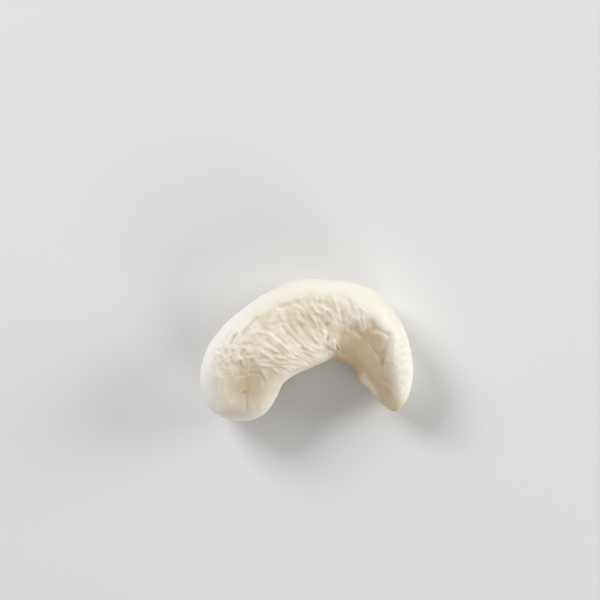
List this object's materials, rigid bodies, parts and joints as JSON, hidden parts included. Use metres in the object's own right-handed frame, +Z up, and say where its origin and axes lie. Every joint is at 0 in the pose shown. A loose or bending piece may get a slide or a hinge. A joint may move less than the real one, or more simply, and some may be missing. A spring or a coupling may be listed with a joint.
{
  "type": "cashew kernel",
  "caption": "Shelled and peeled cashew kernel: a crescent-shaped seed with a broad rounded end, a pointed tip, a seam round its edge and wrinkled flanks.",
  "frame": {"origin": "on the surface that the kernel lies on, under the middle of its outline", "axes": "+X along the longest way, from the broad end to the pointed tip; +Y from the bay to the back of the bend; +Z up, across the two flanks"},
  "size_m": [0.0271, 0.018, 0.0106],
  "materials": {
    "kernel_flesh": "satin ivory seed flesh, slightly waxy and translucent, smooth along the back and finely wrinkled on the flanks"
  },
  "bodies": {
    "root": {"kernel": "kernel_flesh"}
  },
  "joints": []
}
